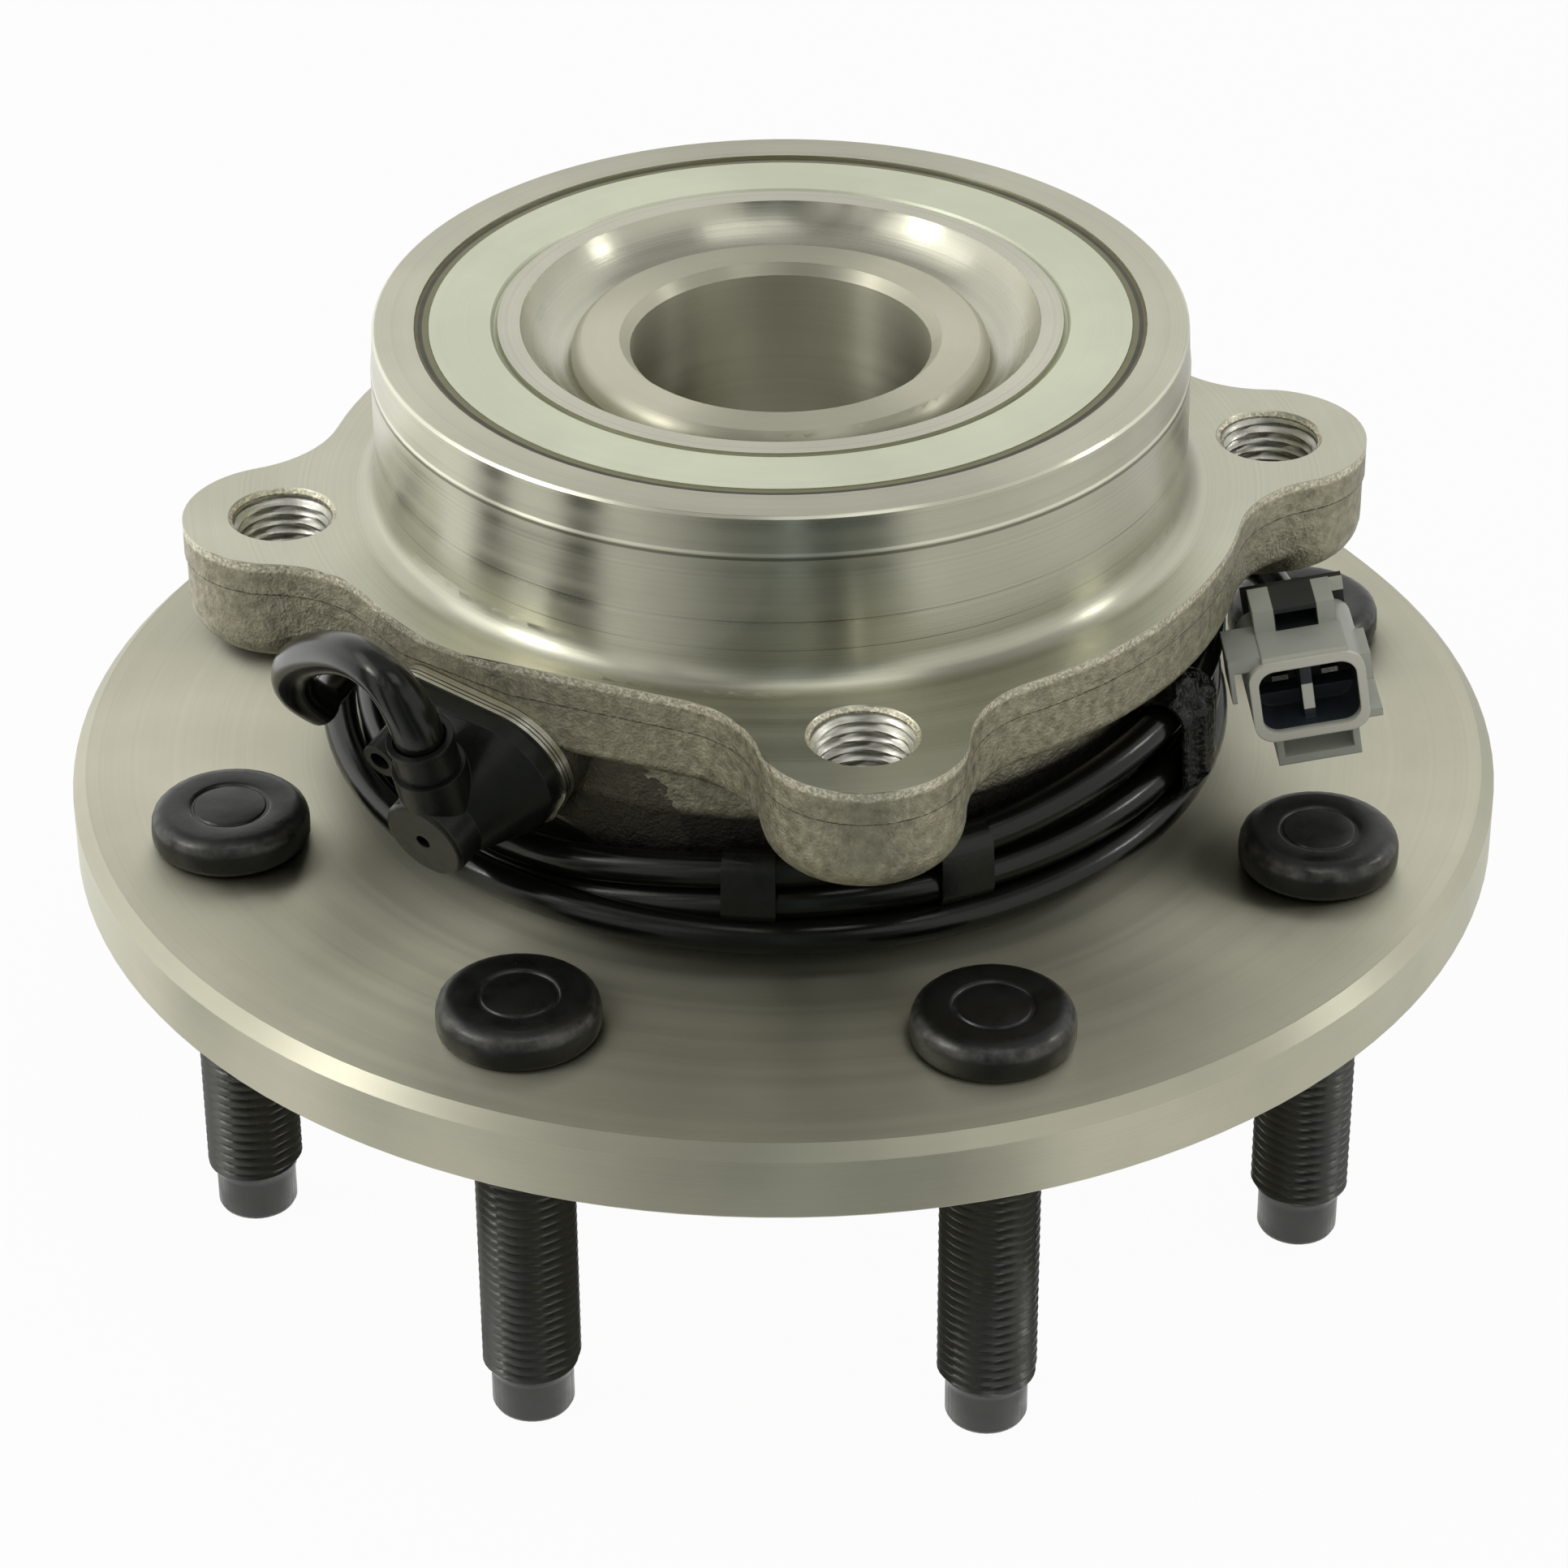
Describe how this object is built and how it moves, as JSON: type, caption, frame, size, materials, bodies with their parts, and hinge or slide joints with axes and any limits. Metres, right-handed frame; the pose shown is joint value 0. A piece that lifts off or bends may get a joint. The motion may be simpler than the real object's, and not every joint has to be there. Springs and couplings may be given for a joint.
{
  "type": "wheel hub bearing",
  "caption": "Wheel hub bearing unit: studded wheel flange on a spindle in sealed taper rollers, a lugged carrier that bolts to the knuckle, and a speed sensor on a coiled lead.",
  "frame": {"origin": "centre of the wheel-mounting face on the spin axis", "axes": "+Z along the spin axis and inboard, away from the wheel; -Y faces the picture's camera, +X to its right"},
  "size_m": [0.2056, 0.2056, 0.1316],
  "materials": {
    "forged_steel": "satin, turned",
    "carrier_steel": "forged skin with machined faces",
    "bearing_steel": "ground",
    "stud_steel": "black phosphate",
    "cage_plastic": "matt",
    "seal_steel": "satin",
    "seal_rubber": "matt",
    "sensor_plastic": "satin",
    "shim_metal": "zinc plated",
    "lead_jacket": "gloss",
    "tape": "satin",
    "connector_plastic": "satin",
    "connector_dark": "satin",
    "terminal_metal": "tin plated"
  },
  "bodies": {
    "carrier": {"outer_ring": "carrier_steel", "inboard_seal_case": "seal_steel", "inboard_seal_rubber": "seal_rubber", "outboard_seal_case": "seal_steel", "outboard_seal_rubber": "seal_rubber", "sensor_shim": "shim_metal", "sensor_plate": "shim_metal", "sensor_body": "sensor_plastic", "sensor_probe": "sensor_plastic", "sensor_o_ring": "seal_rubber", "lead_collar": "sensor_plastic", "lead_boot": "lead_jacket", "lead_coil": "lead_jacket", "lead_tail": "lead_jacket", "tape_bands": "tape", "tape_wrap": "tape", "connector_housing": "connector_plastic", "connector_terminals": "terminal_metal", "connector_rear": "connector_dark", "connector_clip": "connector_dark"},
    "hub": {"wheel_hub": "forged_steel", "wheel_studs": "stud_steel", "inboard_cone": "bearing_steel", "outboard_cone": "bearing_steel", "cone_spacer": "bearing_steel", "tone_ring": "seal_steel", "inboard_seal_flinger": "seal_steel", "outboard_seal_flinger": "seal_steel"},
    "inboard_row": {"inboard_rollers": "bearing_steel", "inboard_cage": "cage_plastic"},
    "outboard_row": {"outboard_rollers": "bearing_steel", "outboard_cage": "cage_plastic"}
  },
  "joints": [
    {"name": "hub_spin", "type": "hinge", "parent": "carrier", "child": "hub", "pos_m": [0, 0, 0], "axis": [0, 0, 1], "continuous": true},
    {"name": "inboard_row_spin", "type": "hinge", "parent": "carrier", "child": "inboard_row", "pos_m": [0, 0, 0.0595], "axis": [0, 0, 1], "continuous": true},
    {"name": "outboard_row_spin", "type": "hinge", "parent": "carrier", "child": "outboard_row", "pos_m": [0, 0, 0.0285], "axis": [0, 0, 1], "continuous": true}
  ],
  "couplings": [
    {"joint": "inboard_row_spin", "follows": "hub_spin", "ratio": 0.4348},
    {"joint": "outboard_row_spin", "follows": "hub_spin", "ratio": 0.4351}
  ]
}
